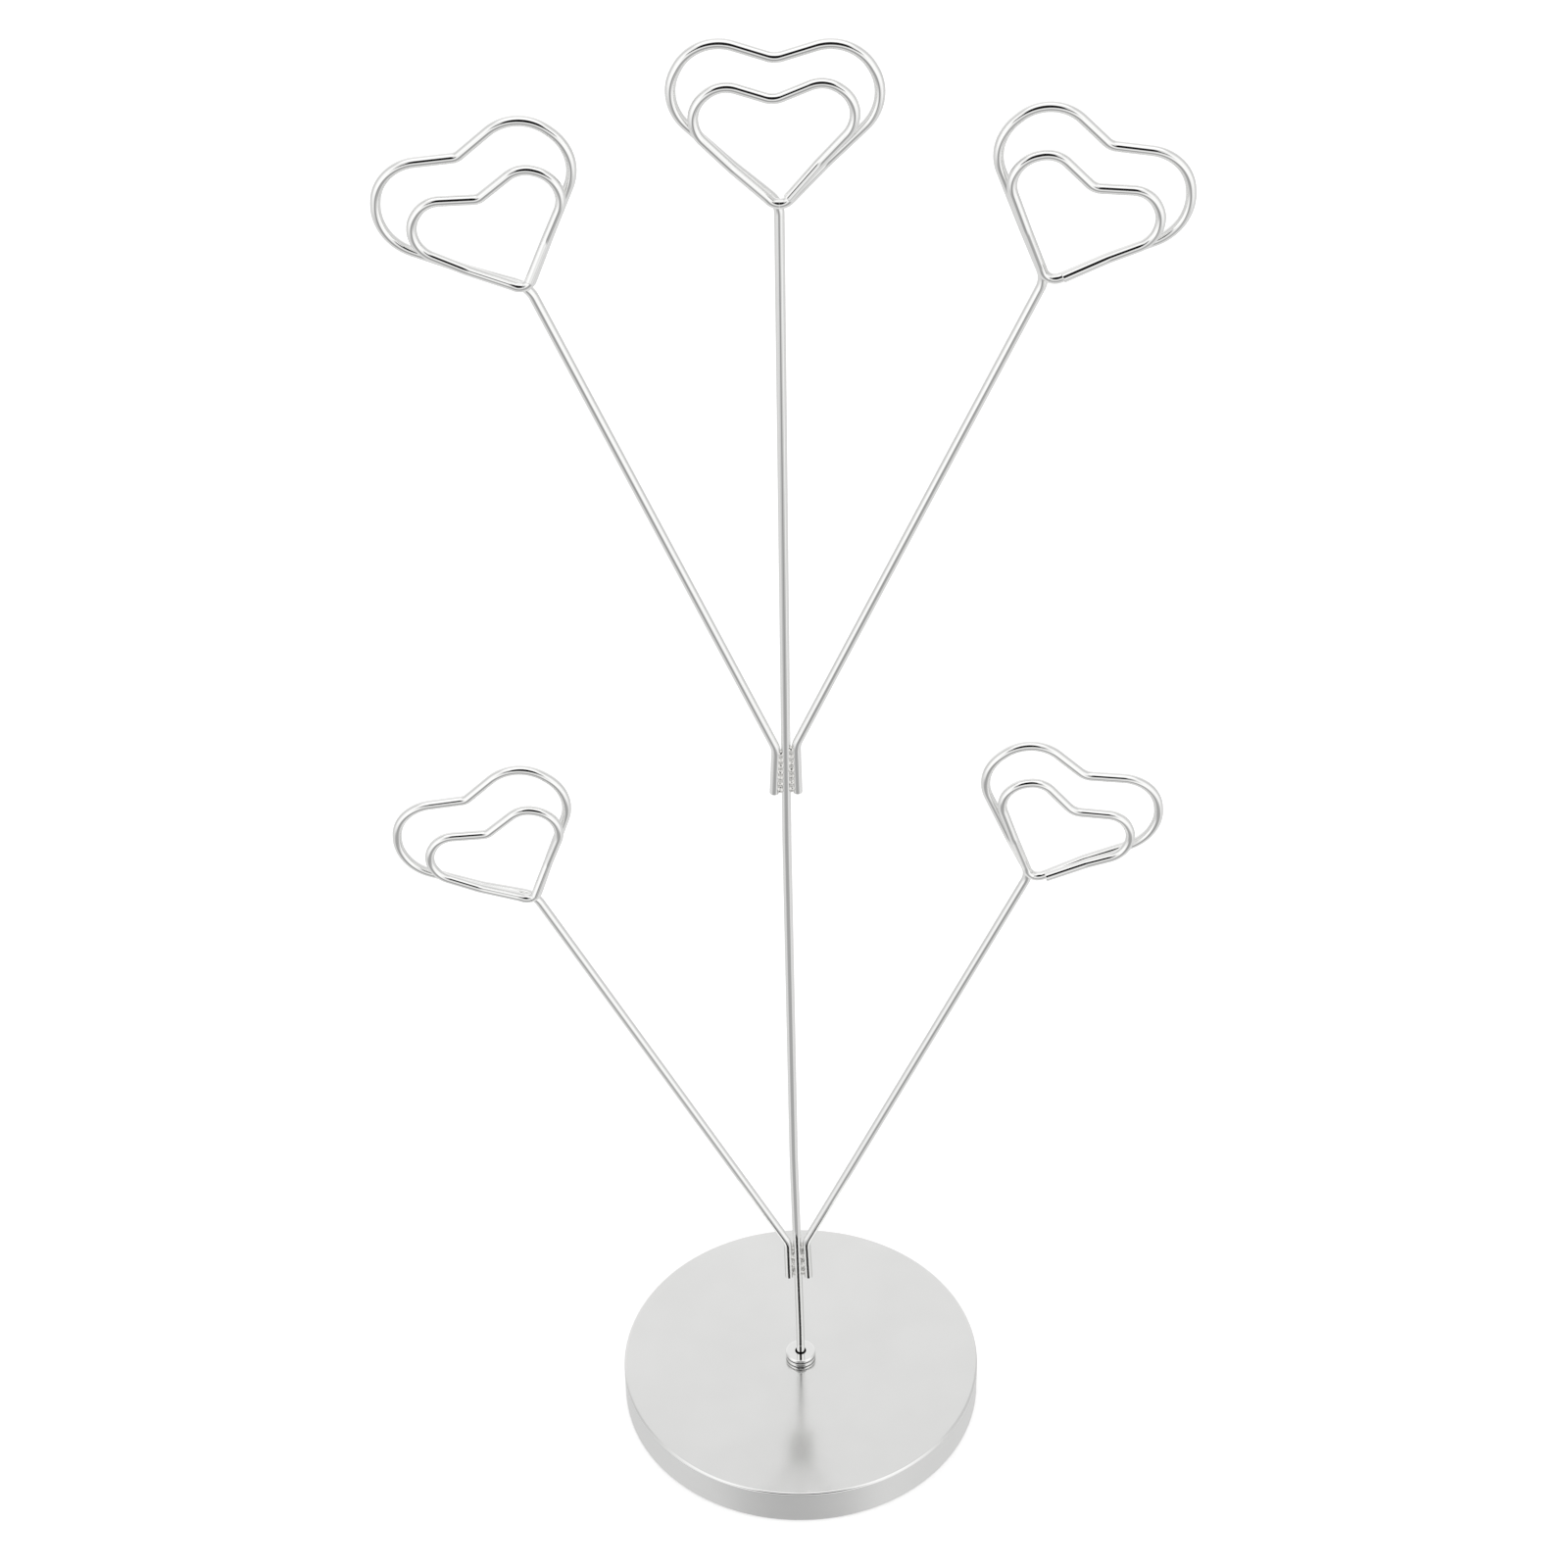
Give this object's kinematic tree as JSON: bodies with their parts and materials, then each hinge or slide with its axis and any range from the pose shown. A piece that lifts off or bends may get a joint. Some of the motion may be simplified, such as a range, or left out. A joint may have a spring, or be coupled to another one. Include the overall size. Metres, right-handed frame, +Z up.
{
  "type": "photo tree stand",
  "caption": "Round weighted base with a bright wire stem and leaning wire arms, each ending in a double-heart loop that clips a photo between its rear and front wire.",
  "frame": {"origin": "middle of the face that the stand rests on, on the base's axis", "axes": "+Z up along the stem, +X to the right of someone who looks at the front, +Y away from them: the flat tree lies in the X-Z plane and its front loops face -Y"},
  "size_m": [0.1526, 0.08, 0.3326],
  "materials": {
    "satin_shell": "satin silver plating",
    "weight": "as cast, unpainted",
    "pad": "closed-cell foam rubber",
    "collar": "turned and bright plated",
    "washer": "plain nylon",
    "cap": "zinc plated spring steel",
    "wire": "bright plated steel wire",
    "weld": "braze, plated over"
  },
  "bodies": {
    "base": {"base_shell": "satin_shell", "base_weight": "weight", "base_pad": "pad", "stem_collar": "collar", "stem_washer": "washer"},
    "tree": {"stem_wire": "wire", "retaining_cap": "cap", "upper_left_arm": "wire", "upper_left_weld": "weld", "upper_right_arm": "wire", "upper_right_weld": "weld", "lower_left_arm": "wire", "lower_left_weld": "weld", "lower_right_arm": "wire", "lower_right_weld": "weld"},
    "top_front": {"top_clip_loop": "wire"},
    "upper_left_front": {"upper_left_clip_loop": "wire"},
    "upper_right_front": {"upper_right_clip_loop": "wire"},
    "lower_left_front": {"lower_left_clip_loop": "wire"},
    "lower_right_front": {"lower_right_clip_loop": "wire"}
  },
  "joints": [
    {"name": "stem_swivel", "type": "hinge", "parent": "base", "child": "tree", "pos_m": [0, 0, 0.005], "axis": [0, 0, 1], "continuous": true},
    {"name": "top_clip_spring", "type": "hinge", "parent": "tree", "child": "top_front", "pos_m": [-0.0007, -0.002, 0.30225], "axis": [0.9999, 0, -0.0109], "range_deg": [0, 6], "stiffness_Nm_per_rad": 2},
    {"name": "upper_left_clip_spring", "type": "hinge", "parent": "tree", "child": "upper_left_front", "pos_m": [-0.04543, -0.002, 0.28692], "axis": [0.9341, 0, 0.3569], "range_deg": [0, 6], "stiffness_Nm_per_rad": 2},
    {"name": "upper_right_clip_spring", "type": "hinge", "parent": "tree", "child": "upper_right_front", "pos_m": [0.04629, -0.002, 0.28706], "axis": [0.9114, 0, -0.4115], "range_deg": [0, 6], "stiffness_Nm_per_rad": 2},
    {"name": "lower_left_clip_spring", "type": "hinge", "parent": "tree", "child": "lower_left_front", "pos_m": [-0.0526, -0.002, 0.14764], "axis": [0.9144, 0, 0.4047], "range_deg": [0, 6], "stiffness_Nm_per_rad": 2},
    {"name": "lower_right_clip_spring", "type": "hinge", "parent": "tree", "child": "lower_right_front", "pos_m": [0.0479, -0.002, 0.15159], "axis": [0.9051, 0, -0.4252], "range_deg": [0, 6], "stiffness_Nm_per_rad": 2}
  ]
}
